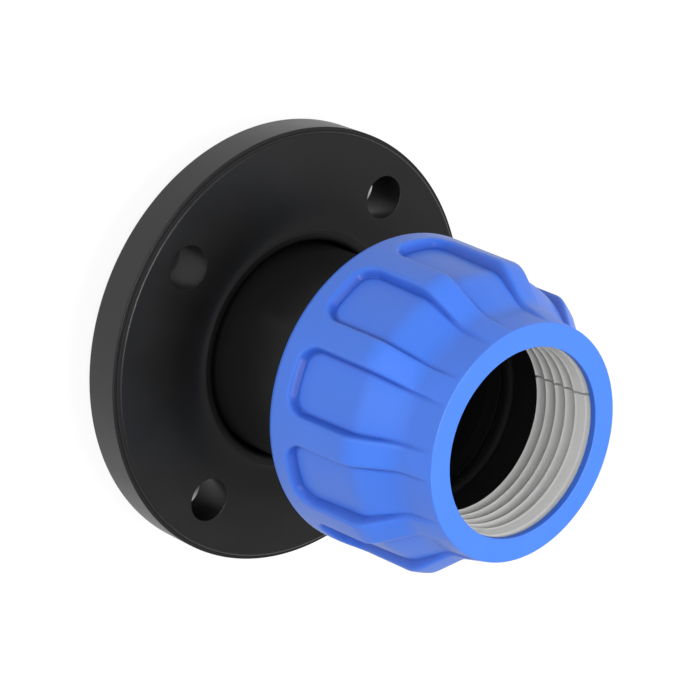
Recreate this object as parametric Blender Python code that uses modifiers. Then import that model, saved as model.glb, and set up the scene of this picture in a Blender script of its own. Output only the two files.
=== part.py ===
"""Flange adaptor for a 75 mm plastic pressure pipe, standing on its sealing face.

A moulded body carries a loose four-bolt backing flange behind its collar. The pipe goes in
at the top, through the nut, and is held there by a split grip ring that the nut's cone
closes, and sealed by an O-ring that the bush presses into the body's seat.
The origin is the centre of the sealing face, and +Z points along the pipe, out of the nut.
"""

import math

import bmesh
import bpy
from mathutils import Matrix

MM = 0.001
TURN = 2.0 * math.pi
MERGE_DISTANCE = 0.01 * MM

# Pipe and the gaps between pieces
PIPE_RADIUS = 37.5 * MM
FIT_GAP = 0.3 * MM
SOCKET_PLAY = 0.7 * MM
FLANGE_PLAY = 1.5 * MM
THREAD_GAP = 0.4 * MM

# Body
COLLAR_RADIUS = 61.0 * MM
COLLAR_THICKNESS = 11.7 * MM
COLLAR_EDGE = 1.2 * MM
WATERWAY_RADIUS = 32.5 * MM
NECK_WALL = 6.3 * MM
NECK_FILLET = 1.2 * MM
NECK_LENGTH = 66.3 * MM
FLARE_LENGTH = 12.0 * MM
BARREL_LENGTH = 38.3 * MM
BARREL_WALL = 6.2 * MM
SOCKET_DEPTH = 58.3 * MM
SEAT_DEPTH = 18.5 * MM
SEAT_LEAD = 5.5 * MM
SEAT_STEP = 1.6 * MM
MOUTH_CHAMFER = 1.0 * MM
SERRATIONS = 2
SERRATION_PITCH = 4.0 * MM
SERRATION_DEPTH = 0.8 * MM
SERRATION_MARGIN = 4.5 * MM

# Thread shared by the body and the nut
THREAD_LEAD = 9.0 * MM
THREAD_DEPTH = 2.8 * MM
THREAD_CREST = 3.3 * MM
THREAD_FLANK_ANGLE = math.radians(15.0)
THREAD_RUNOUT = 2.0 * MM
THREAD_FADE_STEPS = 5
THREAD_BURY = 1.0 * MM
THREAD_SINK = 0.5 * MM

# Backing flange
FLANGE_RADIUS = 92.5 * MM
FLANGE_THICKNESS = 18.0 * MM
FLANGE_EDGE = 0.8 * MM
FLANGE_FRONT_EDGE = 1.7 * MM
RIM_LEDGE = 1.6 * MM
RIM_LEDGE_EDGE = 0.5 * MM
BOLT_CIRCLE_INSET = 20.0 * MM
BOLT_HOLE_RADIUS = 9.0 * MM
BOLT_HOLES = 4
FIRST_BOLT_ANGLE = math.radians(45.0)
HUB_HEIGHT = 2.8 * MM
HUB_LAND = 2.0 * MM
HUB_FOOT = 11.0 * MM
HUB_EDGE = 2.0 * MM

# O-ring and bush
O_RING_SECTION_RADIUS = 4.5 * MM
O_RING_SQUEEZE = 0.2 * MM
BUSH_PLAY = 0.8 * MM
BUSH_SHOULDER = 5.2 * MM
BUSH_SHOULDER_HEIGHT = 4.5 * MM
BUSH_EDGE = 0.8 * MM

# Grip ring
GRIP_LENGTH = 28.8 * MM
GRIP_BITE = 0.3 * MM
GRIP_FRONT_WALL = 4.6 * MM
GRIP_TAPER_ANGLE = math.radians(18.0)
GRIP_LAND = 8.8 * MM
GRIP_LEAD = 1.6 * MM
BARBS = 4
BARB_DEPTH = 1.5 * MM
BARB_RISE_SHARE = 0.3
SLIT_WIDTH = 1.0 * MM
SLIT_ANGLE = math.radians(9.0)

# Nut
LIP_PLAY = 0.6 * MM
LIP_THICKNESS = 3.0 * MM
MOUTH_LAND = 9.5 * MM
MOUTH_EDGE = 0.5 * MM
NUT_LENGTH = 76.8 * MM
NUT_WALL = 4.1 * MM
NUT_CONE_STEP = 4.0 * MM
SKIRT_EDGE = 4.0 * MM
SKIRT_LEAD = 1.5 * MM
RIB_HEIGHT = 3.3 * MM
SKIRT_SWELL = 0.85 * MM
FLOOR_SWELL = 1.1 * MM
SHOULDER_START = 38.6 * MM
SHOULDER_END = 67.6 * MM
THROAT_FLOOR_RISE = 1.7 * MM
THROAT_RIB_RISE = 2.6 * MM
THROAT_FLOOR_END = 3.0 * MM
THROAT_END_RISE = 0.9 * MM
RIBS = 10
FIRST_RIB_ANGLE = math.radians(28.5)
POCKET_HALF_ANGLE = math.radians(13.5)
POCKET_START = 10.4 * MM
POCKET_CORNER = 7.5 * MM
POCKET_DRAFT_ANGLE = math.radians(16.0)

# Facets and cutters
CUT_BEYOND = 6.0 * MM
SHARP_ANGLE = math.radians(35.0)
ROUND_STEPS = 50
FLANGE_STEPS = 60
HOLE_STEPS = 20
ARC_STEPS = 2
FOOT_STEPS = 4
SEAL_STEPS = 8
CORNER_STEPS = 3
SHOULDER_STEPS = 6
WALL_STEPS = 3

# Worked out along the axis
Z_COLLAR_BACK = COLLAR_THICKNESS
Z_FLANGE_BACK = Z_COLLAR_BACK + FIT_GAP
Z_FLANGE_FACE = Z_FLANGE_BACK + FLANGE_THICKNESS
Z_FLARE = Z_COLLAR_BACK + NECK_LENGTH
Z_BARREL = Z_FLARE + FLARE_LENGTH
Z_BODY_MOUTH = Z_BARREL + BARREL_LENGTH
Z_PIPE_STOP = Z_BODY_MOUTH - SOCKET_DEPTH
Z_SEAT = Z_BODY_MOUTH - SEAT_DEPTH
Z_O_RING = Z_SEAT + FIT_GAP + O_RING_SECTION_RADIUS
Z_BUSH = Z_O_RING + O_RING_SECTION_RADIUS + FIT_GAP
Z_BUSH_SHOULDER = Z_BODY_MOUTH + FIT_GAP
Z_BUSH_TOP = Z_BUSH_SHOULDER + BUSH_SHOULDER_HEIGHT
Z_GRIP = Z_BUSH_TOP + FIT_GAP
Z_GRIP_TOP = Z_GRIP + GRIP_LENGTH
Z_LIP = Z_GRIP_TOP + FIT_GAP
Z_MOUTH = Z_LIP + LIP_THICKNESS
Z_SKIRT = Z_MOUTH - NUT_LENGTH

# Worked out across the axis
SOCKET_RADIUS = PIPE_RADIUS + SOCKET_PLAY
NECK_RADIUS = SOCKET_RADIUS + NECK_WALL
FLANGE_BORE_RADIUS = NECK_RADIUS + FLANGE_PLAY
BOLT_CIRCLE_RADIUS = FLANGE_RADIUS - BOLT_CIRCLE_INSET
O_RING_RADIUS = PIPE_RADIUS - O_RING_SQUEEZE + O_RING_SECTION_RADIUS
SEAT_RADIUS = O_RING_RADIUS + O_RING_SECTION_RADIUS + FIT_GAP
BARREL_RADIUS = SEAT_RADIUS + BARREL_WALL
THREAD_RADIUS = BARREL_RADIUS + THREAD_DEPTH
NUT_BORE_RADIUS = THREAD_RADIUS + THREAD_GAP
BUSH_BORE_RADIUS = PIPE_RADIUS + BUSH_PLAY
BUSH_NOSE_RADIUS = SEAT_RADIUS - FIT_GAP
LIP_RADIUS = PIPE_RADIUS + LIP_PLAY
GRIP_CREST_RADIUS = PIPE_RADIUS - GRIP_BITE
GRIP_FRONT_RADIUS = LIP_RADIUS + GRIP_FRONT_WALL
GRIP_TAPER = math.tan(GRIP_TAPER_ANGLE)
GRIP_BACK_RADIUS = GRIP_FRONT_RADIUS + GRIP_LENGTH * GRIP_TAPER
CONE_GAP = FIT_GAP / math.cos(GRIP_TAPER_ANGLE)
MOUTH_RADIUS = LIP_RADIUS + MOUTH_LAND
FLOOR_RADIUS = NUT_BORE_RADIUS + NUT_WALL
RIB_RADIUS = FLOOR_RADIUS + RIB_HEIGHT


def clear_scene():
    for obj in list(bpy.data.objects):
        bpy.data.objects.remove(obj, do_unlink=True)


def collection(name):
    made = bpy.data.collections.new(name)
    bpy.context.scene.collection.children.link(made)
    return made


def plastic(name, colour, roughness):
    """A moulded plastic or rubber finish."""
    made = bpy.data.materials.new(name)
    made.use_nodes = True
    shader = made.node_tree.nodes["Principled BSDF"]
    shader.inputs["Base Color"].default_value = (*colour, 1.0)
    shader.inputs["Roughness"].default_value = roughness
    shader.inputs["Metallic"].default_value = 0.0
    return made


def arc(centre, radius, start, end, steps=ARC_STEPS):
    """Points of a circular arc in the profile plane, both ends included, angles in degrees."""
    points = []
    for i in range(steps + 1):
        angle = math.radians(start + (end - start) * i / steps)
        points.append((centre[0] + radius * math.cos(angle), centre[1] + radius * math.sin(angle)))
    return points


def place(obj, home):
    home.objects.link(obj)
    return obj


def turned(name, profile, home, steps=ROUND_STEPS):
    """A closed profile of (radius, height) points, clockwise from its top, spun round Z."""
    mesh = bpy.data.meshes.new(name)
    count = len(profile)
    edges = [(i, (i + 1) % count) for i in range(count)]
    mesh.from_pydata([(radius, 0.0, height) for radius, height in profile], edges, [])
    obj = place(bpy.data.objects.new(name, mesh), home)
    spin = obj.modifiers.new("spin", "SCREW")
    spin.angle = TURN
    spin.steps = steps
    spin.render_steps = steps
    spin.use_merge_vertices = True
    spin.merge_threshold = MERGE_DISTANCE
    return obj


def from_mesh(name, bm, home):
    """An object made of a finished bmesh, its normals turned outwards."""
    bmesh.ops.recalc_face_normals(bm, faces=bm.faces)
    mesh = bpy.data.meshes.new(name)
    bm.to_mesh(mesh)
    bm.free()
    return place(bpy.data.objects.new(name, mesh), home)


def as_cutter(obj):
    obj.hide_render = True
    obj.display_type = "WIRE"
    return obj


def boolean(obj, other, operation):
    change = obj.modifiers.new(operation.lower(), "BOOLEAN")
    change.operation = operation
    change.solver = "EXACT"
    change.object = as_cutter(other)


def finish(obj, material):
    obj.data.materials.append(material)
    obj.data.shade_smooth()
    obj.data.set_sharp_from_angle(angle=SHARP_ANGLE)
    return obj


def lofted(name, rings, home):
    """A solid through rings of equal numbers of points, capped at both ends."""
    bm = bmesh.new()
    made = [[bm.verts.new(point) for point in ring] for ring in rings]
    count = len(rings[0])
    for low, high in zip(made, made[1:]):
        for i in range(count):
            j = (i + 1) % count
            bm.faces.new((low[i], low[j], high[j], high[i]))
    bm.faces.new(made[0])
    bm.faces.new(made[-1])
    return from_mesh(name, bm, home)


def thread_ridge(name, root, direction, low, high, phase, home):
    """One helical thread ridge that stands from the root radius, outwards or inwards.

    Its height fades in at one end and out at the other. Its sections stand midway between
    the edges of the turned core. At angle zero the ridge's middle lies at the barrel's start
    plus whole leads plus phase, so that the nut's ridge runs midway between the body's turns.
    """
    half_crest = 0.5 * THREAD_CREST
    flank = math.tan(THREAD_FLANK_ANGLE)
    zero = Z_BARREL + phase * THREAD_LEAD
    half_root = half_crest + (THREAD_DEPTH + THREAD_BURY) * flank
    first = math.ceil((low + half_root - zero) / THREAD_LEAD * ROUND_STEPS)
    last = math.floor((high - half_root - zero) / THREAD_LEAD * ROUND_STEPS)
    rings = []
    for i in range(first, last + 1):
        angle = TURN * (i + 0.5) / ROUND_STEPS
        z = zero + THREAD_LEAD * (i + 0.5) / ROUND_STEPS
        fade = min(1.0, (i - first) / THREAD_FADE_STEPS, (last - i) / THREAD_FADE_STEPS)
        height = THREAD_DEPTH * fade - THREAD_SINK * (1.0 - fade)
        half_top = half_crest + (THREAD_DEPTH - height) * flank
        section = (
            (root - direction * THREAD_BURY, -half_root),
            (root + direction * height, -half_top),
            (root + direction * height, half_top),
            (root - direction * THREAD_BURY, half_root),
        )
        ring = []
        for radius, rise in section:
            ring.append((radius * math.cos(angle), radius * math.sin(angle), z + rise))
        rings.append(ring)
    return lofted(name, rings, home)


def serrations():
    """The shallow grooves of the sealing face, from the inner one outwards."""
    points = []
    outer = COLLAR_RADIUS - SERRATION_MARGIN
    for i in range(SERRATIONS):
        middle = outer - (SERRATIONS - 1 - i) * SERRATION_PITCH
        points.append((middle - SERRATION_DEPTH, 0.0))
        points.append((middle, SERRATION_DEPTH))
        points.append((middle + SERRATION_DEPTH, 0.0))
    return points


def make_body(home, cutters, material):
    """Collar, neck, threaded barrel, pipe socket, O-ring seat and waterway in one moulding."""
    outside = [
        (BARREL_RADIUS - MOUTH_CHAMFER, Z_BODY_MOUTH),
        (BARREL_RADIUS, Z_BODY_MOUTH - MOUTH_CHAMFER),
        (BARREL_RADIUS, Z_BARREL),
        (NECK_RADIUS, Z_FLARE),
        (NECK_RADIUS, Z_COLLAR_BACK + NECK_FILLET),
        (NECK_RADIUS + NECK_FILLET, Z_COLLAR_BACK),
        (COLLAR_RADIUS - COLLAR_EDGE, Z_COLLAR_BACK),
        (COLLAR_RADIUS, Z_COLLAR_BACK - COLLAR_EDGE),
        (COLLAR_RADIUS, COLLAR_EDGE),
        (COLLAR_RADIUS - COLLAR_EDGE, 0.0),
    ]
    inside = [
        (WATERWAY_RADIUS, 0.0),
        (WATERWAY_RADIUS, Z_PIPE_STOP),
        (SOCKET_RADIUS, Z_PIPE_STOP),
        (SOCKET_RADIUS, Z_SEAT - SEAT_LEAD),
        (SOCKET_RADIUS + SEAT_STEP, Z_SEAT),
        (SEAT_RADIUS, Z_SEAT),
        (SEAT_RADIUS, Z_BODY_MOUTH),
    ]
    body = turned("body", outside + serrations()[::-1] + inside, home)
    ridge = thread_ridge(
        "body thread",
        BARREL_RADIUS,
        1.0,
        Z_BARREL + THREAD_RUNOUT,
        Z_BODY_MOUTH - THREAD_RUNOUT,
        0.0,
        cutters,
    )
    boolean(body, ridge, "UNION")
    return finish(body, material)


def hub_foot():
    """The hollow curve from the hub's outer edge down to the flange's face."""
    inner = FLANGE_BORE_RADIUS + HUB_EDGE + HUB_LAND
    points = []
    for i in range(FOOT_STEPS + 1):
        angle = 0.5 * math.pi * i / FOOT_STEPS
        radius = inner + HUB_FOOT * (1.0 - math.cos(angle))
        height = Z_FLANGE_FACE + HUB_HEIGHT * (1.0 - math.sin(angle))
        points.append((radius, height))
    return points


def make_backing_flange(home, cutters, material):
    """The loose bolt ring that turns on the neck, with a raised hub round its bore."""
    hub_top = Z_FLANGE_FACE + HUB_HEIGHT
    edge = FLANGE_EDGE
    ledge_radius = FLANGE_RADIUS - RIM_LEDGE
    ledge_height = Z_FLANGE_FACE - FLANGE_FRONT_EDGE
    lip_centre = (FLANGE_BORE_RADIUS + HUB_EDGE, hub_top - HUB_EDGE)
    front_centre = (ledge_radius - FLANGE_FRONT_EDGE, ledge_height)
    back_centre = (FLANGE_RADIUS - edge, Z_FLANGE_BACK + edge)
    profile = arc(lip_centre, HUB_EDGE, 180.0, 90.0)
    profile += hub_foot()
    profile += arc(front_centre, FLANGE_FRONT_EDGE, 90.0, 0.0)
    profile += [
        (FLANGE_RADIUS - RIM_LEDGE_EDGE, ledge_height),
        (FLANGE_RADIUS, ledge_height - RIM_LEDGE_EDGE),
    ]
    profile += arc(back_centre, edge, 0.0, -90.0)
    profile += [
        (FLANGE_BORE_RADIUS + edge, Z_FLANGE_BACK),
        (FLANGE_BORE_RADIUS, Z_FLANGE_BACK + edge),
    ]
    flange = turned("backing_flange", profile, home, FLANGE_STEPS)
    boolean(flange, bolt_holes(cutters), "DIFFERENCE")
    return finish(flange, material)


def bolt_holes(cutters):
    """One cutter for all the bolt holes, longer than the flange is thick."""
    bm = bmesh.new()
    length = FLANGE_THICKNESS + 2.0 * CUT_BEYOND
    middle = Z_FLANGE_BACK + 0.5 * FLANGE_THICKNESS
    for i in range(BOLT_HOLES):
        made = bmesh.ops.create_cone(
            bm,
            cap_ends=True,
            segments=HOLE_STEPS,
            radius1=BOLT_HOLE_RADIUS,
            radius2=BOLT_HOLE_RADIUS,
            depth=length,
        )
        angle = FIRST_BOLT_ANGLE + TURN * i / BOLT_HOLES
        centre = (BOLT_CIRCLE_RADIUS * math.cos(angle), BOLT_CIRCLE_RADIUS * math.sin(angle), middle)
        bmesh.ops.translate(bm, verts=made["verts"], vec=centre)
    return from_mesh("bolt holes", bm, cutters)


def make_o_ring(home, material):
    """The rubber seal in the body's seat."""
    profile = arc((O_RING_RADIUS, Z_O_RING), O_RING_SECTION_RADIUS, 90.0, -270.0, SEAL_STEPS)[:-1]
    return finish(turned("o_ring", profile, home), material)


def make_bush(home, material):
    """The pressing bush: its nose enters the seat and its shoulder rests on the body's mouth."""
    shoulder = BUSH_NOSE_RADIUS + BUSH_SHOULDER
    profile = [
        (BUSH_BORE_RADIUS + BUSH_EDGE, Z_BUSH_TOP),
        (shoulder - BUSH_EDGE, Z_BUSH_TOP),
        (shoulder, Z_BUSH_TOP - BUSH_EDGE),
        (shoulder, Z_BUSH_SHOULDER),
        (BUSH_NOSE_RADIUS, Z_BUSH_SHOULDER),
        (BUSH_NOSE_RADIUS, Z_BUSH),
        (BUSH_BORE_RADIUS, Z_BUSH),
        (BUSH_BORE_RADIUS, Z_BUSH_TOP - BUSH_EDGE),
    ]
    return finish(turned("bush", profile, home), material)


def barb_profile():
    """The grip ring's inner side from its back face up to its front edge."""
    root = GRIP_CREST_RADIUS + BARB_DEPTH
    pitch = (GRIP_LENGTH - GRIP_LAND) / BARBS
    points = [(root, Z_GRIP)]
    for i in range(BARBS):
        start = Z_GRIP + i * pitch
        points.append((GRIP_CREST_RADIUS, start + BARB_RISE_SHARE * pitch))
        points.append((root, start + pitch))
    land = Z_GRIP + BARBS * pitch
    points.append((LIP_RADIUS, land + BARB_RISE_SHARE * pitch))
    points.append((LIP_RADIUS, Z_GRIP_TOP - GRIP_LEAD))
    points.append((LIP_RADIUS + GRIP_LEAD, Z_GRIP_TOP))
    return points


def make_grip_ring(home, cutters, material):
    """The split ring: a cone outside, barbs that let the pipe in but not out, and one slit."""
    profile = [(GRIP_FRONT_RADIUS, Z_GRIP_TOP), (GRIP_BACK_RADIUS, Z_GRIP)]
    ring = turned("grip_ring", profile + barb_profile(), home)
    bm = bmesh.new()
    bmesh.ops.create_cube(bm, size=1.0)
    inner = GRIP_CREST_RADIUS - CUT_BEYOND
    outer = GRIP_BACK_RADIUS + CUT_BEYOND
    height = GRIP_LENGTH + 2.0 * CUT_BEYOND
    bmesh.ops.scale(bm, verts=bm.verts, vec=(outer - inner, SLIT_WIDTH, height))
    bmesh.ops.translate(
        bm,
        verts=bm.verts,
        vec=(0.5 * (outer + inner), 0.0, 0.5 * (Z_GRIP + Z_GRIP_TOP)),
    )
    slit = from_mesh("slit", bm, cutters)
    slit.rotation_euler.z = SLIT_ANGLE
    boolean(ring, slit, "DIFFERENCE")
    return finish(ring, material)


def smooth_fall(share):
    return share * share * (3.0 - 2.0 * share)


def shoulder_radius(base, throat, z):
    """The radius of a nut outline at a height: it falls smoothly from its base to its throat."""
    start = Z_SKIRT + SHOULDER_START
    share = (z - start) / (SHOULDER_END - SHOULDER_START)
    return base + (throat - base) * smooth_fall(min(1.0, max(0.0, share)))


def outer_curve(base, swell, throat):
    """A nut outline from the skirt up to the mouth: a swelling band, a shoulder and a throat."""
    points = [(base + swell, Z_SKIRT + SKIRT_EDGE)]
    for i in range(SHOULDER_STEPS + 1):
        z = Z_SKIRT + SHOULDER_START + i / SHOULDER_STEPS * (SHOULDER_END - SHOULDER_START)
        points.append((shoulder_radius(base, throat, z), z))
    return points


def nut_inside():
    """The nut's inner side from the skirt up to the mouth: thread bore, cone and lip."""
    cone_small = GRIP_FRONT_RADIUS + CONE_GAP - FIT_GAP * GRIP_TAPER
    cone_large = GRIP_BACK_RADIUS + CONE_GAP
    return [
        (NUT_BORE_RADIUS + SKIRT_LEAD, Z_SKIRT),
        (NUT_BORE_RADIUS, Z_SKIRT + SKIRT_LEAD),
        (NUT_BORE_RADIUS, Z_GRIP - NUT_CONE_STEP),
        (cone_large, Z_GRIP),
        (cone_small, Z_LIP),
        (LIP_RADIUS, Z_LIP),
        (LIP_RADIUS, Z_MOUTH),
    ]


def pocket_outline(radius, top):
    """The pocket's outline on a cylinder: a slot with one rounded end, as a ring of points.

    Its side walls keep the same angle at the tops of the ribs all the way up the shoulder,
    and lean in by the draft angle below them.
    """
    draft = math.tan(POCKET_DRAFT_ANGLE)
    grow = (radius - RIB_RADIUS) * draft
    half = POCKET_HALF_ANGLE * RIB_RADIUS + grow
    corner = POCKET_CORNER + grow
    low = Z_SKIRT + POCKET_START - grow
    end = arc((half - corner, low + corner), corner, -90.0, 0.0, CORNER_STEPS)
    side = [(across / RIB_RADIUS, z) for across, z in end]
    for i in range(WALL_STEPS):
        share = (i + 0.5) / WALL_STEPS
        z = Z_SKIRT + SHOULDER_START + share * (SHOULDER_END - SHOULDER_START)
        local = shoulder_radius(RIB_RADIUS, MOUTH_RADIUS + THROAT_RIB_RISE, z)
        side.append((POCKET_HALF_ANGLE + (radius - local) * draft / local, z))
    side.append((side[-1][0], top))
    ring = []
    for angle, z in side + [(-angle, z) for angle, z in reversed(side)]:
        ring.append((radius * math.cos(angle), radius * math.sin(angle), z))
    return ring


def make_pockets(floor, cutters):
    """One cutter for the pockets between the ribs: each slot stops at the floor curve."""
    top = Z_MOUTH + CUT_BEYOND
    far = RIB_RADIUS + 2.0 * CUT_BEYOND
    tail = (MOUTH_RADIUS + THROAT_END_RISE, Z_MOUTH - THROAT_FLOOR_END)
    outline = [(far, top), (far, Z_SKIRT)] + floor + [tail, (tail[0], top)]
    shell = turned("pocket floors", outline, cutters)
    beyond = top + CUT_BEYOND
    rings = [pocket_outline(LIP_RADIUS, beyond), pocket_outline(RIB_RADIUS + CUT_BEYOND, beyond)]
    slot = lofted("pocket slot", rings, cutters)
    boolean(as_cutter(slot), shell, "INTERSECT")
    graph = bpy.context.evaluated_depsgraph_get()
    one = bpy.data.meshes.new_from_object(slot.evaluated_get(graph))
    bm = bmesh.new()
    for i in range(RIBS):
        before = len(bm.verts)
        bm.from_mesh(one)
        bm.verts.ensure_lookup_table()
        turn = Matrix.Rotation(FIRST_RIB_ANGLE + TURN * (i + 0.5) / RIBS, 3, "Z")
        bmesh.ops.rotate(bm, verts=bm.verts[before:], cent=(0.0, 0.0, 0.0), matrix=turn)
    bpy.data.meshes.remove(one)
    return from_mesh("pockets", bm, cutters)


def make_nut(home, cutters, material):
    """The nut: thread and cone inside, and ribs for grip that stand between pockets outside."""
    ribs = outer_curve(RIB_RADIUS, SKIRT_SWELL, MOUTH_RADIUS + THROAT_RIB_RISE)
    floor = outer_curve(FLOOR_RADIUS, FLOOR_SWELL, MOUTH_RADIUS + THROAT_FLOOR_RISE)
    skirt_centre = (ribs[0][0] - SKIRT_EDGE, Z_SKIRT + SKIRT_EDGE)
    outside = [
        (MOUTH_RADIUS - MOUTH_EDGE, Z_MOUTH),
        (MOUTH_RADIUS, Z_MOUTH - MOUTH_EDGE),
    ]
    outside += ribs[:0:-1]
    outside += arc(skirt_centre, SKIRT_EDGE, 0.0, -90.0, CORNER_STEPS)
    nut = turned("nut", outside + nut_inside(), home)
    boolean(nut, make_pockets(floor, cutters), "DIFFERENCE")
    ridge = thread_ridge(
        "nut thread",
        NUT_BORE_RADIUS,
        -1.0,
        Z_SKIRT + THREAD_RUNOUT,
        Z_BODY_MOUTH,
        0.5,
        cutters,
    )
    boolean(nut, ridge, "UNION")
    return finish(nut, material)


def build():
    clear_scene()
    home = collection("flange adaptor")
    cutters = collection("cutters")
    black = plastic("black plastic", (0.022, 0.022, 0.023), 0.42)
    blue = plastic("blue plastic", (0.060, 0.190, 0.800), 0.38)
    white = plastic("white plastic", (0.600, 0.600, 0.580), 0.50)
    rubber = plastic("black rubber", (0.012, 0.012, 0.012), 0.60)
    make_body(home, cutters, black)
    make_backing_flange(home, cutters, black)
    make_o_ring(home, rubber)
    make_bush(home, black)
    make_grip_ring(home, cutters, white)
    make_nut(home, cutters, blue)


build()
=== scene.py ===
import math

import bpy
from mathutils import Matrix, Vector


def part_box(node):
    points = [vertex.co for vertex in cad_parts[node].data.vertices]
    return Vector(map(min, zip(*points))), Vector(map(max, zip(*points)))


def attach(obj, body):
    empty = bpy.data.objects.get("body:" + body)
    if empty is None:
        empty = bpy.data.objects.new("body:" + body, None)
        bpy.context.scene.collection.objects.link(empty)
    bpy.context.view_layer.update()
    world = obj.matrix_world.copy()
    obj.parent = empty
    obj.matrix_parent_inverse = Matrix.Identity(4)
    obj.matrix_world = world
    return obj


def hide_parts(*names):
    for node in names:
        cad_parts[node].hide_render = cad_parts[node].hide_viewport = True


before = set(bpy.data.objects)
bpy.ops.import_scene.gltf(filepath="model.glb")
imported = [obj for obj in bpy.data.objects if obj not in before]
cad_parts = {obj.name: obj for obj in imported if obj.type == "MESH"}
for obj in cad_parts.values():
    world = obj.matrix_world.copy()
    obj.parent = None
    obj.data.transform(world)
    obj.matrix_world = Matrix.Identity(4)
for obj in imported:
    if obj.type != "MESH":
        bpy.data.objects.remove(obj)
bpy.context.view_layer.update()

# The body is the black moulding that everything else goes on: collar, neck, flare, threaded
# barrel and the socket for the pipe. It is injection moulded in polypropylene, with gasket
# grooves in its sealing face and one screw thread of coarse pitch on the barrel.

MM = 0.001
TURN = 2.0 * math.pi
EDGE = 0.4 * MM

collar_low, collar_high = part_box("body")
flange_low, flange_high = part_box("backing_flange")
seal_low, seal_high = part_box("o_ring")

GAP = 0.3 * MM
PIPE_RADIUS = 37.5 * MM
SOCKET_RADIUS = PIPE_RADIUS + 0.7 * MM
WATERWAY_RADIUS = 32.5 * MM
NECK_RADIUS = 44.5 * MM
BARREL_RADIUS = 52.8 * MM
SEAT_RADIUS = 46.6 * MM
COLLAR_RADIUS = min(collar_high.x, collar_high.y)
COLLAR_TOP = flange_low.z - GAP
BODY_MOUTH = collar_high.z
FLARE_START = COLLAR_TOP + 66.3 * MM
BARREL_START = FLARE_START + 12.0 * MM
PIPE_STOP = BODY_MOUTH - 58.3 * MM
SEAT = seal_low.z - GAP
SEAT_LEAD = 5.5 * MM
SEAT_STEP = 1.6 * MM
GROOVE_RADII = (52.5 * MM, 56.5 * MM)
GROOVE_DEPTH = 0.8 * MM
THREAD_LEAD = 9.0 * MM
THREAD_DEPTH = 2.8 * MM
THREAD_CREST = 3.3 * MM
THREAD_FLANK = math.tan(math.radians(15.0))
THREAD_RUNOUT = 2.0 * MM
THREAD_BURY = 1.0 * MM
THREAD_STEPS = 96
THREAD_FADE = 0.12
MERGED = 0.01 * MM
BODY_STEPS = 180
BLACK = (0.0110, 0.0110, 0.0110)


def rounded(corners, turn_per_step=math.radians(18.0)):
    """The points of a closed outline whose corners are (radius, height, rounding)."""
    points = []
    for i, (radius, height, rounding) in enumerate(corners):
        here = Vector((radius, height, 0.0))
        if not rounding:
            points.append(here)
            continue
        last = corners[i - 1]
        following = corners[(i + 1) % len(corners)]
        back = (Vector((last[0], last[1], 0.0)) - here).normalized()
        ahead = (Vector((following[0], following[1], 0.0)) - here).normalized()
        opening = back.angle(ahead)
        reach = rounding / math.tan(0.5 * opening)
        centre = here + (back + ahead).normalized() * rounding / math.sin(0.5 * opening)
        start = (here + back * reach - centre).normalized()
        end = (here + ahead * reach - centre).normalized()
        steps = max(2, math.ceil((math.pi - opening) / turn_per_step))
        points += [centre + rounding * start.slerp(end, k / steps) for k in range(steps + 1)]
    return points


def select_alone(piece):
    """Makes one piece the only selected one, and the active one."""
    bpy.ops.object.select_all(action="DESELECT")
    piece.select_set(True)
    bpy.context.view_layer.objects.active = piece


def drawn(name, outline):
    """A closed outline of (radius, height) points as a wire in the XZ plane."""
    bpy.ops.object.select_all(action="DESELECT")
    bpy.ops.mesh.primitive_plane_add(size=MM, location=(0.0, 0.0, 0.0))
    piece = bpy.context.object
    piece.name = name
    piece.data.name = name
    bpy.ops.object.mode_set(mode="EDIT")
    bpy.ops.mesh.select_all(action="SELECT")
    bpy.ops.mesh.merge(type="CENTER")
    bpy.ops.transform.translate(value=(outline[0].x, 0.0, outline[0].y))
    for before, after in zip(outline, outline[1:] + outline[:1]):
        step = (after.x - before.x, 0.0, after.y - before.y)
        bpy.ops.mesh.extrude_vertices_move(TRANSFORM_OT_translate={"value": step})
    bpy.ops.mesh.select_all(action="SELECT")
    bpy.ops.mesh.remove_doubles(threshold=MERGED)
    bpy.ops.object.mode_set(mode="OBJECT")
    return piece


def spun(name, outline, steps):
    """A closed outline spun all the way round the pipe's axis, its seam merged."""
    piece = drawn(name, outline)
    bpy.ops.object.mode_set(mode="EDIT")
    bpy.ops.mesh.select_all(action="SELECT")
    bpy.ops.mesh.spin(steps=steps, angle=TURN, center=(0.0, 0.0, 0.0), axis=(0.0, 0.0, 1.0))
    bpy.ops.mesh.select_all(action="SELECT")
    bpy.ops.mesh.remove_doubles(threshold=MERGED)
    bpy.ops.mesh.normals_make_consistent(inside=False)
    bpy.ops.object.mode_set(mode="OBJECT")
    return piece


def apply_all(piece):
    """Applies a piece's modifiers, in their order."""
    select_alone(piece)
    for change in list(piece.modifiers):
        bpy.ops.object.modifier_apply(modifier=change.name)


def joined_by_boolean(piece, other, operation):
    """Cuts the other piece away from the piece, or joins the two into one closed mesh."""
    change = piece.modifiers.new(operation.lower(), "BOOLEAN")
    change.operation = operation
    change.solver = "EXACT"
    change.object = other
    apply_all(piece)
    bpy.data.objects.remove(other)


def smoothed(piece, angle=math.radians(40.0)):
    """Smooth shading that keeps the flat faces flat next to their rounded edges."""
    select_alone(piece)
    bpy.ops.object.shade_smooth_by_angle(angle=angle)
    weight = piece.modifiers.new("flat faces", "WEIGHTED_NORMAL")
    weight.keep_sharp = True
    apply_all(piece)


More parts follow.
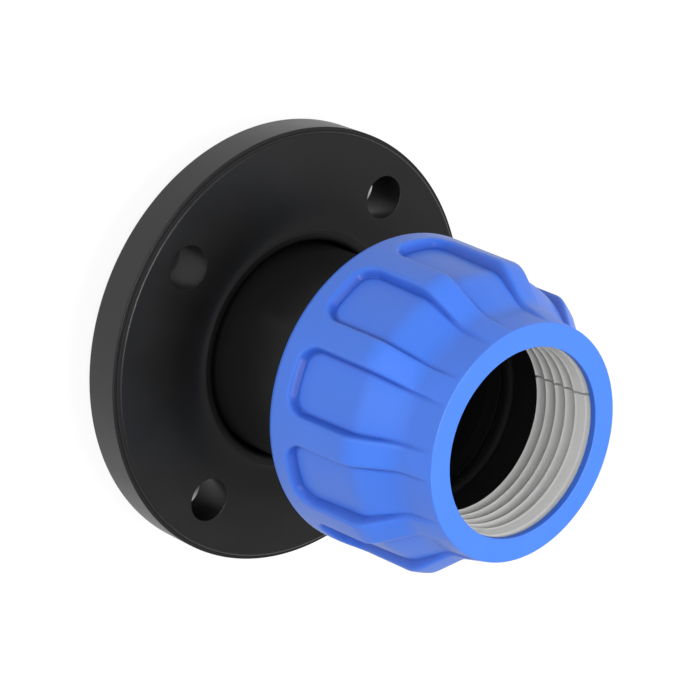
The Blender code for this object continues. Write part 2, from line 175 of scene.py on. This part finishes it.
def thread(name, root, outwards, low, high, phase):
    """One helical ridge on a barrel, or in a bore where outwards is -1. Its root is buried in
    the wall, and its ends sink into it and are closed."""
    half_root = 0.5 * THREAD_CREST + (THREAD_DEPTH + THREAD_BURY) * THREAD_FLANK
    start = low + half_root
    turns = (high - half_root - start) / THREAD_LEAD
    buried = root - outwards * THREAD_BURY
    crest = root + outwards * THREAD_DEPTH
    section = rounded(
        [
            (buried, start - half_root, 0.0),
            (crest, start - 0.5 * THREAD_CREST, EDGE),
            (crest, start + 0.5 * THREAD_CREST, EDGE),
            (buried, start + half_root, 0.0),
        ]
    )
    ridge = drawn(name, section)
    climb = ridge.modifiers.new("climb", "SCREW")
    climb.angle = TURN * turns
    climb.screw_offset = THREAD_LEAD * turns
    climb.steps = math.ceil(THREAD_STEPS * turns)
    climb.render_steps = climb.steps
    apply_all(ridge)
    for vertex in ridge.data.vertices:
        rise = vertex.co.z - start
        ridge_angle = math.atan2(vertex.co.y, vertex.co.x)
        along = round(rise / THREAD_LEAD - ridge_angle / TURN) + ridge_angle / TURN
        fade = min(1.0, along / THREAD_FADE, (turns - along) / THREAD_FADE)
        radius = math.hypot(vertex.co.x, vertex.co.y)
        height = outwards * (radius - root)
        lowered = height * max(0.0, fade) - 0.5 * THREAD_BURY * (1.0 - max(0.0, fade))
        if height > 0.0:
            vertex.co.xy *= (root + outwards * lowered) / radius
    bpy.ops.object.mode_set(mode="EDIT")
    bpy.ops.mesh.select_all(action="DESELECT")
    bpy.ops.mesh.select_mode(type="EDGE")
    bpy.ops.mesh.select_non_manifold()
    bpy.ops.mesh.fill_holes(sides=len(section))
    bpy.ops.mesh.select_mode(type="VERT")
    bpy.ops.mesh.select_all(action="SELECT")
    bpy.ops.mesh.normals_make_consistent(inside=False)
    bpy.ops.object.mode_set(mode="OBJECT")
    turned_by = TURN * ((start - BARREL_START) / THREAD_LEAD - phase)
    ridge.data.transform(Matrix.Rotation(turned_by, 4, "Z"))
    return ridge


groove_points = []
for groove in GROOVE_RADII:
    groove_points.append((groove - GROOVE_DEPTH, 0.0, 0.0))
    groove_points.append((groove, GROOVE_DEPTH, 0.2 * MM))
    groove_points.append((groove + GROOVE_DEPTH, 0.0, 0.0))
body_outline = rounded(
    [
        (COLLAR_RADIUS, 0.0, 1.2 * MM),
        (COLLAR_RADIUS, COLLAR_TOP, 1.2 * MM),
        (NECK_RADIUS, COLLAR_TOP, 1.2 * MM),
        (NECK_RADIUS, FLARE_START, 6.0 * MM),
        (BARREL_RADIUS, BARREL_START, 3.0 * MM),
        (BARREL_RADIUS, BODY_MOUTH, 1.0 * MM),
        (SEAT_RADIUS, BODY_MOUTH, 0.6 * MM),
        (SEAT_RADIUS, SEAT, EDGE),
        (SOCKET_RADIUS + SEAT_STEP, SEAT, EDGE),
        (SOCKET_RADIUS, SEAT - SEAT_LEAD, EDGE),
        (SOCKET_RADIUS, PIPE_STOP, 0.5 * MM),
        (WATERWAY_RADIUS, PIPE_STOP, 0.6 * MM),
        (WATERWAY_RADIUS, 0.0, 0.6 * MM),
    ]
    + groove_points
)
moulded_body = spun("moulded_body", body_outline, BODY_STEPS)
body_thread = thread(
    "body_thread",
    BARREL_RADIUS,
    1.0,
    BARREL_START + THREAD_RUNOUT,
    BODY_MOUTH - THREAD_RUNOUT,
    0.0,
)
joined_by_boolean(moulded_body, body_thread, "UNION")


def socket(group, name, side, kind="NodeSocketFloat", value=None):
    """Adds one named input or output to a node group."""
    made = group.interface.new_socket(name=name, in_out=side, socket_type=kind)
    if value is not None:
        made.default_value = value
    return made


def moulded_skin():
    """A node group for moulded plastic: fine grain, slow sink waves and faint flow clouds."""
    group = bpy.data.node_groups.new("moulded skin", "ShaderNodeTree")
    socket(group, "Colour", "INPUT", "NodeSocketColor")
    socket(group, "Cloud amount", "INPUT", value=0.1)
    socket(group, "Cloud size", "INPUT", value=60.0)
    socket(group, "Grain size", "INPUT", value=2500.0)
    socket(group, "Grain depth", "INPUT", value=0.1)
    socket(group, "Wave depth", "INPUT", value=0.1)
    socket(group, "Roughness", "INPUT", value=0.4)
    socket(group, "Roughness spread", "INPUT", value=0.06)
    socket(group, "Colour", "OUTPUT", "NodeSocketColor")
    socket(group, "Roughness", "OUTPUT")
    socket(group, "Normal", "OUTPUT", "NodeSocketVector")
    nodes = group.nodes
    links = group.links
    inside = nodes.new("NodeGroupInput")
    outside = nodes.new("NodeGroupOutput")
    place = nodes.new("ShaderNodeTexCoord")
    clouds = nodes.new("ShaderNodeTexNoise")
    clouds.inputs["Detail"].default_value = 3.0
    links.new(place.outputs["Object"], clouds.inputs["Vector"])
    links.new(inside.outputs["Cloud size"], clouds.inputs["Scale"])
    centred = nodes.new("ShaderNodeMath")
    centred.operation = "SUBTRACT"
    centred.inputs[1].default_value = 0.5
    links.new(clouds.outputs["Fac"], centred.inputs[0])
    strength = nodes.new("ShaderNodeMath")
    strength.operation = "MULTIPLY_ADD"
    strength.inputs[2].default_value = 1.0
    links.new(centred.outputs[0], strength.inputs[0])
    links.new(inside.outputs["Cloud amount"], strength.inputs[1])
    tint = nodes.new("ShaderNodeVectorMath")
    tint.operation = "SCALE"
    links.new(inside.outputs["Colour"], tint.inputs[0])
    links.new(strength.outputs[0], tint.inputs["Scale"])
    links.new(tint.outputs[0], outside.inputs["Colour"])
    spread = nodes.new("ShaderNodeMath")
    spread.operation = "MULTIPLY_ADD"
    links.new(centred.outputs[0], spread.inputs[0])
    links.new(inside.outputs["Roughness spread"], spread.inputs[1])
    links.new(inside.outputs["Roughness"], spread.inputs[2])
    links.new(spread.outputs[0], outside.inputs["Roughness"])
    grain = nodes.new("ShaderNodeTexNoise")
    grain.inputs["Detail"].default_value = 2.0
    links.new(place.outputs["Object"], grain.inputs["Vector"])
    links.new(inside.outputs["Grain size"], grain.inputs["Scale"])
    fine = nodes.new("ShaderNodeBump")
    fine.inputs["Distance"].default_value = 0.05 * MM
    links.new(inside.outputs["Grain depth"], fine.inputs["Strength"])
    links.new(grain.outputs["Fac"], fine.inputs["Height"])
    wave = nodes.new("ShaderNodeBump")
    wave.inputs["Distance"].default_value = 1.0 * MM
    links.new(inside.outputs["Wave depth"], wave.inputs["Strength"])
    links.new(clouds.outputs["Fac"], wave.inputs["Height"])
    links.new(fine.outputs["Normal"], wave.inputs["Normal"])
    links.new(wave.outputs["Normal"], outside.inputs["Normal"])
    return group


skin = moulded_skin()


def plastic(name, colour, settings, shine=0.5):
    """A Principled material whose colour, roughness and normal come from the moulded skin."""
    material = bpy.data.materials.new(name)
    material.use_nodes = True
    shader = material.node_tree.nodes["Principled BSDF"]
    shader.inputs["Specular IOR Level"].default_value = shine
    surface = material.node_tree.nodes.new("ShaderNodeGroup")
    surface.node_tree = skin
    surface.inputs["Colour"].default_value = (*colour, 1.0)
    for key, value in settings.items():
        surface.inputs[key].default_value = value
    link = material.node_tree.links.new
    link(surface.outputs["Colour"], shader.inputs["Base Color"])
    link(surface.outputs["Roughness"], shader.inputs["Roughness"])
    link(surface.outputs["Normal"], shader.inputs["Normal"])
    return material


def dress(piece, material, body, node):
    """Gives a finished piece its material and its body, and hides the CAD node that it stands
    for.
    """
    piece.data.materials.clear()
    piece.data.materials.append(material)
    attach(piece, body)
    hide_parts(node)


black_plastic = plastic(
    "black polypropylene",
    BLACK,
    {"Roughness": 0.32, "Roughness spread": 0.12, "Grain depth": 0.10, "Wave depth": 0.10},
    0.50,
)
smoothed(moulded_body)
dress(moulded_body, black_plastic, "body", "body")

# The backing flange is a loose ring of glass-filled black plastic. It turns freely on the
# neck above the collar, carries four bolt holes and has a raised hub round its bore. A small
# ledge runs round its rim where the two halves of the mould met.

FLANGE_RADIUS = min(flange_high.x, flange_high.y)
FLANGE_BACK = flange_low.z
HUB_TOP = flange_high.z
HUB_HEIGHT = 2.8 * MM
FLANGE_FACE = HUB_TOP - HUB_HEIGHT
FLANGE_BORE = NECK_RADIUS + 1.5 * MM
HUB_LIP = 2.0 * MM
HUB_FOOT = 11.0 * MM
RIM_EDGE = 1.7 * MM
RIM_LEDGE = 1.6 * MM
LEDGE_RADIUS = FLANGE_RADIUS - RIM_LEDGE
LEDGE_HEIGHT = FLANGE_FACE - RIM_EDGE
BOLT_CIRCLE = FLANGE_RADIUS - 20.0 * MM
BOLT_RADIUS = 9.0 * MM
BOLTS = 4
HOLE_ROUNDING = 0.4 * MM
DRILL_OVER = 3.0 * MM
DRILL_STEPS = 72
FOOT_STEPS = 16
FLANGE_STEPS = 240
FLANGE_BLACK = (0.0130, 0.0130, 0.0130)

hub_foot = []
for i in range(1, FOOT_STEPS):
    sweep = 0.25 * TURN * i / FOOT_STEPS
    foot_radius = FLANGE_BORE + 2.0 * HUB_LIP + HUB_FOOT * (1.0 - math.cos(sweep))
    hub_foot.append((foot_radius, FLANGE_FACE + HUB_HEIGHT * (1.0 - math.sin(sweep)), 0.0))
flange_outline = rounded(
    [
        (FLANGE_BORE, FLANGE_BACK, 0.8 * MM),
        (FLANGE_BORE, HUB_TOP, 0.99 * HUB_LIP),
        (FLANGE_BORE + 2.0 * HUB_LIP, HUB_TOP, 0.8 * MM),
    ]
    + hub_foot
    + [
        (FLANGE_BORE + 2.0 * HUB_LIP + HUB_FOOT, FLANGE_FACE, 0.0),
        (LEDGE_RADIUS, FLANGE_FACE, 0.98 * RIM_EDGE),
        (LEDGE_RADIUS, LEDGE_HEIGHT, 0.0),
        (FLANGE_RADIUS, LEDGE_HEIGHT, 0.5 * MM),
        (FLANGE_RADIUS, FLANGE_BACK, 0.8 * MM),
    ]
)
loose_flange = spun("loose_flange", flange_outline, FLANGE_STEPS)

flare = BOLT_RADIUS + HOLE_ROUNDING + DRILL_OVER
bolt_drill = spun(
    "bolt_drill",
    rounded(
        [
            (0.0, FLANGE_BACK - DRILL_OVER, 0.0),
            (flare, FLANGE_BACK - DRILL_OVER, 0.0),
            (flare, FLANGE_BACK - MERGED, 0.0),
            (BOLT_RADIUS, FLANGE_BACK, HOLE_ROUNDING),
            (BOLT_RADIUS, FLANGE_FACE, HOLE_ROUNDING),
            (flare, FLANGE_FACE + MERGED, 0.0),
            (flare, FLANGE_FACE + DRILL_OVER, 0.0),
            (0.0, FLANGE_FACE + DRILL_OVER, 0.0),
        ]
    ),
    DRILL_STEPS,
)
for i in range(BOLTS):
    angle = TURN * (i + 0.5) / BOLTS
    hole = bolt_drill.copy()
    hole.data = bolt_drill.data.copy()
    bpy.context.collection.objects.link(hole)
    hole.location = (BOLT_CIRCLE * math.cos(angle), BOLT_CIRCLE * math.sin(angle), 0.0)
    joined_by_boolean(loose_flange, hole, "DIFFERENCE")
bpy.data.objects.remove(bolt_drill)
smoothed(loose_flange)
flange_plastic = plastic(
    "black glass-filled plastic",
    FLANGE_BLACK,
    {
        "Roughness": 0.36,
        "Roughness spread": 0.15,
        "Grain depth": 0.22,
        "Grain size": 1800.0,
        "Wave depth": 0.12,
        "Cloud size": 45.0,
        "Cloud amount": 0.35,
    },
    0.50,
)
dress(loose_flange, flange_plastic, "flange", "backing_flange")

# The O-ring is a moulded rubber ring, 9 mm thick, in the body's seat. It is what keeps the
# water in when the bush presses it against the pipe. A thin mould flash runs round its inside
# and its outside.

SEAL_BORE = PIPE_RADIUS - 0.2 * MM
SEAL_POINTS = 32
FLASH_RISE = 0.01
RING_STEPS = 144
RUBBER_BLACK = (0.008, 0.008, 0.008)

seal_radius = 0.5 * (seal_high.z - seal_low.z)
seal_middle = 0.5 * (seal_high.z + seal_low.z)
seal_outline = []
for i in range(SEAL_POINTS):
    sweep = TURN * i / SEAL_POINTS
    at_flash = i % (SEAL_POINTS // 2) == 0
    spread = seal_radius * (1.0 + FLASH_RISE if at_flash else 1.0)
    across = SEAL_BORE + seal_radius + spread * math.cos(sweep)
    seal_outline.append(Vector((across, seal_middle + seal_radius * math.sin(sweep), 0.0)))
seal_ring = spun("seal_ring", seal_outline, RING_STEPS)
smoothed(seal_ring)
rubber = plastic(
    "black rubber",
    RUBBER_BLACK,
    {"Roughness": 0.40, "Grain depth": 0.15, "Wave depth": 0.0},
    0.20,
)
dress(seal_ring, rubber, "body", "o_ring")

# The bush is a plain black ring between the grip ring and the O-ring. Its nose enters the
# body's seat, and its shoulder comes to rest on the body's mouth when the nut is tight.

bush_low, bush_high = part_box("bush")
BUSH_BORE = PIPE_RADIUS + 0.8 * MM
BUSH_RADIUS = min(bush_high.x, bush_high.y)
BUSH_NOSE = SEAT_RADIUS - GAP
BUSH_SHOULDER = BODY_MOUTH + GAP

bush_outline = rounded(
    [
        (BUSH_BORE, bush_low.z, 0.5 * MM),
        (BUSH_NOSE, bush_low.z, 0.8 * MM),
        (BUSH_NOSE, BUSH_SHOULDER, 0.3 * MM),
        (BUSH_RADIUS, BUSH_SHOULDER, 0.6 * MM),
        (BUSH_RADIUS, bush_high.z, 0.8 * MM),
        (BUSH_BORE, bush_high.z, 0.8 * MM),
    ]
)
pressing_bush = spun("pressing_bush", bush_outline, RING_STEPS)
smoothed(pressing_bush)
dress(pressing_bush, black_plastic, "body", "bush")

# The grip ring is off-white acetal, moulded as a cone and slit at one side so that the nut's
# cone can close it. Four hollow rings round its bore leave sharp crests between them, which bite
# into the pipe, and a plain land and a chamfer finish it at the mouth.

grip_low, grip_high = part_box("grip_ring")
GRIP_BACK = grip_low.z
GRIP_TOP = grip_high.z
GRIP_RADIUS = min(grip_high.x, grip_high.y)
LIP_RADIUS = PIPE_RADIUS + 0.6 * MM
CREST_RADIUS = PIPE_RADIUS - 0.3 * MM
LAND_RADIUS = PIPE_RADIUS
LAND_START = GRIP_BACK + 21.5 * MM
LAND_RISE = 1.0 * MM
CHAMFER = 1.4 * MM
CHAMFER_HEIGHT = 2.4 * MM
CREST_ROUNDING = 0.15 * MM
HOLLOWS = 4
HOLLOW_DEPTH = 0.9 * MM
HOLLOW_STEPS = 10
HOLLOW_WIDTH = (LAND_START - GRIP_BACK) / HOLLOWS
GRIP_FRONT = LIP_RADIUS + 4.6 * MM
SLIT_WIDTH = 1.0 * MM
SLIT_ANGLE = math.radians(9.0)
SAW_SIZE = (30.0 * MM, SLIT_WIDTH, 40.0 * MM)
SAW_REACH = 1.2 * PIPE_RADIUS
GRIP_STEPS = 216
OFF_WHITE = (0.755, 0.750, 0.728)

hollows = []
for i in range(HOLLOWS * HOLLOW_STEPS):
    share = i % HOLLOW_STEPS / HOLLOW_STEPS
    depth = HOLLOW_DEPTH * 4.0 * share * (1.0 - share)
    rounding = 0.0 if share else CREST_ROUNDING
    height = GRIP_BACK + HOLLOW_WIDTH * i / HOLLOW_STEPS
    hollows.append((CREST_RADIUS + depth, height, rounding))
grip_outline = rounded(
    [(GRIP_RADIUS, GRIP_BACK, 0.5 * MM)]
    + hollows
    + [
        (CREST_RADIUS, LAND_START, CREST_ROUNDING),
        (LAND_RADIUS, LAND_START + LAND_RISE, 0.5 * MM),
        (LIP_RADIUS, GRIP_TOP - CHAMFER_HEIGHT, 0.3 * MM),
        (LIP_RADIUS + CHAMFER, GRIP_TOP, 0.3 * MM),
        (GRIP_FRONT, GRIP_TOP, 0.5 * MM),
    ]
)
split_grip = spun("split_grip", grip_outline, GRIP_STEPS)
bpy.ops.object.select_all(action="DESELECT")
bpy.ops.mesh.primitive_cube_add(size=1.0)
saw = bpy.context.object
saw.dimensions = SAW_SIZE
saw.rotation_euler.z = SLIT_ANGLE
saw.location = (
    SAW_REACH * math.cos(SLIT_ANGLE),
    SAW_REACH * math.sin(SLIT_ANGLE),
    0.5 * (GRIP_BACK + GRIP_TOP),
)
joined_by_boolean(split_grip, saw, "DIFFERENCE")
smoothed(split_grip, math.radians(30.0))
acetal = plastic(
    "off-white acetal",
    OFF_WHITE,
    {"Roughness": 0.45, "Cloud amount": 0.08, "Grain depth": 0.05, "Wave depth": 0.05},
    0.25,
)
dress(split_grip, acetal, "grip", "grip_ring")

# The nut is blue polypropylene. Outside, ten ribs for a strap wrench stand between ten
# pockets, each round at its lower end and fading out at the mouth. Inside are the thread that
# draws it down the barrel, the cone that closes the grip ring, and a thin lip at the mouth.

nut_low, nut_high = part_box("nut")
SKIRT = nut_low.z
MOUTH = nut_high.z
NUT_RADIUS = min(nut_high.x, nut_high.y)
SKIRT_EDGE = 4.0 * MM
SKIRT_EDGE_POINTS = 10
RIB_RADIUS = 63.4 * MM
FLOOR_RADIUS = 58.8 * MM
FLOOR_SWELL = 1.7 * MM
THROAT_RIB = 50.2 * MM
THROAT_FLOOR = 48.7 * MM
MOUTH_RADIUS = 47.6 * MM
SHOULDER_START = SKIRT + 41.0 * MM
SHOULDER_END = SKIRT + 65.5 * MM
SHOULDER_BEND = 0.30
NUT_BORE = BARREL_RADIUS + THREAD_DEPTH + 0.4 * MM
BORE_END = 4.0 * MM
BORE_CHAMFER = 1.5 * MM
CONE_GAP = 0.32 * MM
RIBS = 10
FIRST_RIB = math.radians(28.5)
PITCH_ANGLE = TURN / RIBS
ROW_STEP = 1.4 * MM
FINE_ROW_STEP = 0.3 * MM
FINE_ROWS_BELOW = 0.6 * MM
FINE_ROWS_ABOVE = 1.0 * MM
MOUTH_BAND = 1.0 * MM
OUTER_SKIN = 0.05 * MM
COLUMNS = 64
FLOOR_COLUMNS = 2
WALL_COLUMNS = 26
WALL_SPAN = (math.radians(6.5), math.radians(14.3))
POCKET_HALF_ANGLE = math.radians(14.0)
POCKET_START = SKIRT + 9.6 * MM
POCKET_CORNER = 9.5 * MM
WALL_RUN = 2.6 * MM
WALL_LIP = 1.7 * MM
WALL_LIP_SHARE = 0.25
# The painted shade at the foot of each pocket's wall: how far from the foot it spreads, and the
# pocket depth at which it is full.
PAINTED_SHADE_RUN = 1.5 * MM
PAINTED_SHADE_DEPTH = 3.0 * MM
BLUE = (0.062, 0.204, 0.840)
# A darker blue painted at the foot of each pocket's wall as shade.
PAINTED_SHADE_BLUE = (0.018, 0.090, 0.520)


def shoulder(straight, throat, z):
    """A radius that falls from the straight part of the nut to its throat in one even slope,
    with a rounded bend at each end of it."""
    share = min(1.0, max(0.0, (z - SHOULDER_START) / (SHOULDER_END - SHOULDER_START)))
    to_end = min(share, 1.0 - share)
    if to_end < SHOULDER_BEND:
        fallen = 0.5 * to_end * to_end / SHOULDER_BEND
    else:
        fallen = to_end - 0.5 * SHOULDER_BEND
    fallen /= 1.0 - SHOULDER_BEND
    return straight + (throat - straight) * (fallen if share < 0.5 else 1.0 - fallen)


def skirt_swell(amount, z):
    """How much wider a part of the nut grows from the shoulder down to the skirt's edge."""
    share = (SHOULDER_START - z) / (SHOULDER_START - SKIRT - SKIRT_EDGE)
    return amount * max(0.0, share)


def rib_radius(z):
    """The radius of a rib's outer face at a height."""
    if z > SHOULDER_END:
        share = (z - SHOULDER_END) / (MOUTH - SHOULDER_END)
        return THROAT_RIB + (MOUTH_RADIUS - THROAT_RIB) * share
    return shoulder(RIB_RADIUS, THROAT_RIB, z) + skirt_swell(NUT_RADIUS - RIB_RADIUS, z)


def floor_radius(z):
    """The radius of a pocket's floor at a height."""
    if z > SHOULDER_END:
        share = (z - SHOULDER_END) / (MOUTH - SHOULDER_END)
        return THROAT_FLOOR + (MOUTH_RADIUS - THROAT_FLOOR) * share
    return shoulder(FLOOR_RADIUS, THROAT_FLOOR, z) + skirt_swell(FLOOR_SWELL, z)


heights = []
z = SKIRT + SKIRT_EDGE
fine_low = POCKET_START - FINE_ROWS_BELOW
fine_high = POCKET_START + POCKET_CORNER + FINE_ROWS_ABOVE
while z < MOUTH - MOUTH_BAND:
    heights.append(z)
    z += FINE_ROW_STEP if fine_low < z < fine_high else ROW_STEP
skirt_arc = []
for i in range(SKIRT_EDGE_POINTS):
    sweep = 0.25 * TURN * i / (SKIRT_EDGE_POINTS - 1)
    across = NUT_RADIUS - SKIRT_EDGE * (1.0 - math.sin(sweep))
    skirt_arc.append(Vector((across, SKIRT + SKIRT_EDGE * (1.0 - math.cos(sweep)), 0.0)))
cone_small = GRIP_FRONT + CONE_GAP
cone_large = grip_high.x + CONE_GAP
inside_corners = rounded(
    [
        (MOUTH_RADIUS, MOUTH, 0.5 * MM),
        (LIP_RADIUS, MOUTH, 0.4 * MM),
        (LIP_RADIUS, GRIP_TOP + GAP, 0.3 * MM),
        (cone_small, GRIP_TOP + GAP, 0.4 * MM),
        (cone_large, GRIP_BACK, 1.0 * MM),
        (NUT_BORE, GRIP_BACK - BORE_END, 1.0 * MM),
        (NUT_BORE, SKIRT + BORE_CHAMFER, 0.4 * MM),
        (NUT_BORE + BORE_CHAMFER, SKIRT, 0.4 * MM),
        (NUT_RADIUS, SKIRT, 0.0),
    ]
)[:-1]
outside_points = skirt_arc + [Vector((rib_radius(z), z, 0.0)) for z in heights[1:]]
nut_outline = outside_points + inside_corners
ribbed_nut = spun("ribbed_nut", nut_outline, COLUMNS * RIBS)

# The nut's columns of points are drawn together where the pockets' walls are.
column_angles = []
for i in range(COLUMNS // 2 + 1):
    if i <= FLOOR_COLUMNS:
        start, end, share = 0.0, WALL_SPAN[0], i / FLOOR_COLUMNS
    elif i <= FLOOR_COLUMNS + WALL_COLUMNS:
        start, end, share = *WALL_SPAN, (i - FLOOR_COLUMNS) / WALL_COLUMNS
    else:
        rib_columns = COLUMNS // 2 - FLOOR_COLUMNS - WALL_COLUMNS
        start, end = WALL_SPAN[1], 0.5 * PITCH_ANGLE
        share = (i - FLOOR_COLUMNS - WALL_COLUMNS) / rib_columns
    column_angles.append(start + (end - start) * share)


def wall_drop(inwards):
    """How far down to the floor the pocket's wall has come, this far in from its edge: first
    over a rounded lip, and then down a steep wall."""
    if inwards < WALL_LIP:
        share = max(0.0, inwards / WALL_LIP)
        return WALL_LIP_SHARE * share * share
    share = min(1.0, (inwards - WALL_LIP) / (WALL_RUN - WALL_LIP))
    return WALL_LIP_SHARE + (1.0 - WALL_LIP_SHARE) * share


# Each point of the nut carries a painted shade share, highest at the foot of a pocket's wall,
# which darkens the blue there.
painted_foot_shade = ribbed_nut.data.attributes.new("painted foot shade", "FLOAT", "POINT")
for vertex in ribbed_nut.data.vertices:
    turn = math.atan2(vertex.co.y, vertex.co.x)
    step = round(turn / (PITCH_ANGLE / COLUMNS))
    sector = math.floor(step / COLUMNS + 0.5)
    column = step - sector * COLUMNS
    offset = math.copysign(column_angles[abs(column)], column) if column else 0.0
    radius = math.hypot(vertex.co.x, vertex.co.y)
    z = vertex.co.z
    on_outside = radius > rib_radius(z) - OUTER_SKIN
    if on_outside and SKIRT + SKIRT_EDGE < z < MOUTH - MOUTH_BAND:
        half = POCKET_HALF_ANGLE * radius
        across = abs(offset) * radius
        up = z - POCKET_START
        corner_across = across - (half - POCKET_CORNER)
        corner_up = POCKET_CORNER - up
        if corner_across > 0.0 and corner_up > 0.0:
            inwards = POCKET_CORNER - math.hypot(corner_across, corner_up)
        else:
            inwards = min(half - across, up)
        depth = max(0.0, radius - floor_radius(z))
        radius -= depth * wall_drop(inwards)
        from_foot = abs(inwards - WALL_RUN) / PAINTED_SHADE_RUN
        shade = min(1.0, depth / PAINTED_SHADE_DEPTH) * max(0.0, 1.0 - from_foot)
        painted_foot_shade.data[vertex.index].value = shade
    angle = FIRST_RIB + 0.5 * PITCH_ANGLE + sector * PITCH_ANGLE + offset
    vertex.co.x = radius * math.cos(angle)
    vertex.co.y = radius * math.sin(angle)
nut_thread = thread(
    "nut_thread",
    NUT_BORE,
    -1.0,
    SKIRT + THREAD_RUNOUT,
    BODY_MOUTH,
    0.5,
)
joined_by_boolean(ribbed_nut, nut_thread, "UNION")
smoothed(ribbed_nut, math.radians(50.0))
blue_plastic = plastic(
    "blue polypropylene",
    BLUE,
    {
        "Roughness": 0.40,
        "Roughness spread": 0.10,
        "Cloud amount": 0.10,
        "Grain depth": 0.06,
        "Wave depth": 0.12,
    },
    0.55,
)

# The blue is painted darker at the foot of each pocket's wall as shade, by the painted shade
# share that the mesh carries.
nodes = blue_plastic.node_tree.nodes
link = blue_plastic.node_tree.links.new
painted_shade_mask = nodes.new("ShaderNodeAttribute")
painted_shade_mask.attribute_name = "painted foot shade"
blue_and_painted_shade = nodes.new("ShaderNodeMix")
blue_and_painted_shade.data_type = "RGBA"
blue_and_painted_shade.inputs["A"].default_value = (*BLUE, 1.0)
blue_and_painted_shade.inputs["B"].default_value = (*PAINTED_SHADE_BLUE, 1.0)
link(painted_shade_mask.outputs["Fac"], blue_and_painted_shade.inputs["Factor"])
blue_skin = [node for node in nodes if node.type == "GROUP"][0]
link(blue_and_painted_shade.outputs["Result"], blue_skin.inputs["Colour"])
dress(ribbed_nut, blue_plastic, "nut", "nut")

# The studio: a pale floor under the part, a plain white world, and soft boxes above the part
# and round the camera. The camera looks down at the nut's mouth from above and from one side,
# and only the top box shows in the plastic's gloss.

FLOOR_SIZE = 8.0
FLOOR_DROP = 0.5 * MM
FLOOR_COLOUR = (0.10, 0.10, 0.10)
FLOOR_GLOW = 0.45
FLOOR_SEEN = 0.93
FLOOR_SHINE = 0.75
SHADOW_CENTRE = (0.0060, -0.0040, 0.0)
SHADOW_RADIUS = 0.066
SHADOW_FADE = 0.026
CAMERA_PLACE = Vector((-0.67638, 0.47879, 0.89803))
CAMERA_TURN = (math.radians(-20.7747), math.radians(-40.4580), math.radians(-4.4709))
LENS = 149.67
SENSOR = 36.0
CLIP_END = 50.0

bpy.ops.object.select_all(action="DESELECT")
bpy.ops.mesh.primitive_plane_add(size=FLOOR_SIZE, location=(0.0, 0.0, -FLOOR_DROP))
studio_floor = bpy.context.object
studio_floor.name = "studio_floor"
floor_paint = bpy.data.materials.new("white floor")
floor_paint.use_nodes = True
nodes = floor_paint.node_tree.nodes
link = floor_paint.node_tree.links.new
floor_shader = nodes["Principled BSDF"]
floor_shader.inputs["Base Color"].default_value = (*FLOOR_COLOUR, 1.0)
floor_shader.inputs["Roughness"].default_value = 0.9
floor_shader.inputs["Emission Color"].default_value = (1.0, 1.0, 1.0, 1.0)

# The floor looks white to the camera and dimmer to the part, and darkens under the flange, so
# that no white shows through the bolt holes.
floor_place = nodes.new("ShaderNodeTexCoord")
from_shadow = nodes.new("ShaderNodeVectorMath")
from_shadow.operation = "DISTANCE"
from_shadow.inputs[1].default_value = SHADOW_CENTRE
link(floor_place.outputs["Object"], from_shadow.inputs[0])
beyond_part = nodes.new("ShaderNodeMapRange")
beyond_part.interpolation_type = "SMOOTHSTEP"
beyond_part.inputs["From Min"].default_value = SHADOW_RADIUS
beyond_part.inputs["From Max"].default_value = SHADOW_RADIUS + SHADOW_FADE
link(from_shadow.outputs["Value"], beyond_part.inputs["Value"])
light_path = nodes.new("ShaderNodeLightPath")
mirrored = nodes.new("ShaderNodeMix")
mirrored.data_type = "FLOAT"
mirrored.inputs["A"].default_value = FLOOR_GLOW
mirrored.inputs["B"].default_value = FLOOR_SHINE
link(light_path.outputs["Is Glossy Ray"], mirrored.inputs["Factor"])
seen = nodes.new("ShaderNodeMix")
seen.data_type = "FLOAT"
seen.inputs["B"].default_value = FLOOR_SEEN
link(light_path.outputs["Is Camera Ray"], seen.inputs["Factor"])
link(mirrored.outputs["Result"], seen.inputs["A"])
glow = nodes.new("ShaderNodeMath")
glow.operation = "MULTIPLY"
link(beyond_part.outputs["Result"], glow.inputs[0])
link(seen.outputs["Result"], glow.inputs[1])
link(glow.outputs[0], floor_shader.inputs["Emission Strength"])
studio_floor.data.materials.append(floor_paint)

camera_data = bpy.data.cameras.new("camera")
camera_data.lens = LENS
camera_data.sensor_width = SENSOR
camera_data.sensor_height = SENSOR
camera_data.clip_end = CLIP_END
camera = bpy.data.objects.new("camera", camera_data)
camera.location = CAMERA_PLACE
camera.rotation_euler = CAMERA_TURN
bpy.context.scene.collection.objects.link(camera)
bpy.context.scene.camera = camera

AIM = Vector((0.0, 0.0, 0.08))
WORLD_LIGHT = 0.25
view = camera.rotation_euler.to_matrix()

world = bpy.data.worlds.new("studio")
bpy.context.scene.world = world
world.use_nodes = True
world.node_tree.nodes["Background"].inputs["Color"].default_value = (1.0, 1.0, 1.0, 1.0)
world.node_tree.nodes["Background"].inputs["Strength"].default_value = WORLD_LIGHT


def soft_box(name, right, up, back, size, power):
    """An area lamp placed from the aim point along the view's right, up and backward axes."""
    lamp = bpy.data.lights.new(name, "AREA")
    lamp.shape = "SQUARE"
    lamp.size = size
    lamp.energy = power
    box = bpy.data.objects.new(name, lamp)
    box.location = AIM + view @ Vector((right, up, back))
    box.rotation_euler = (AIM - box.location).to_track_quat("-Z", "Y").to_euler()
    bpy.context.scene.collection.objects.link(box)
    return box


soft_box("top", 0.71, -0.30, 0.78, 0.35, 4.2)
right_box = soft_box("right", 0.96, 0.0, 0.54, 0.7, 6.6)
low_box = soft_box("low", 0.67, -0.67, 0.56, 0.6, 1.8)
front_box = soft_box("front", 0.0, 0.0, 1.1, 0.6, 3.0)
left_box = soft_box("left", -0.74, 0.0, 0.82, 0.6, 4.0)
for box in (right_box, low_box, front_box, left_box):
    box.visible_glossy = False

bpy.context.scene.view_settings.view_transform = "Standard"
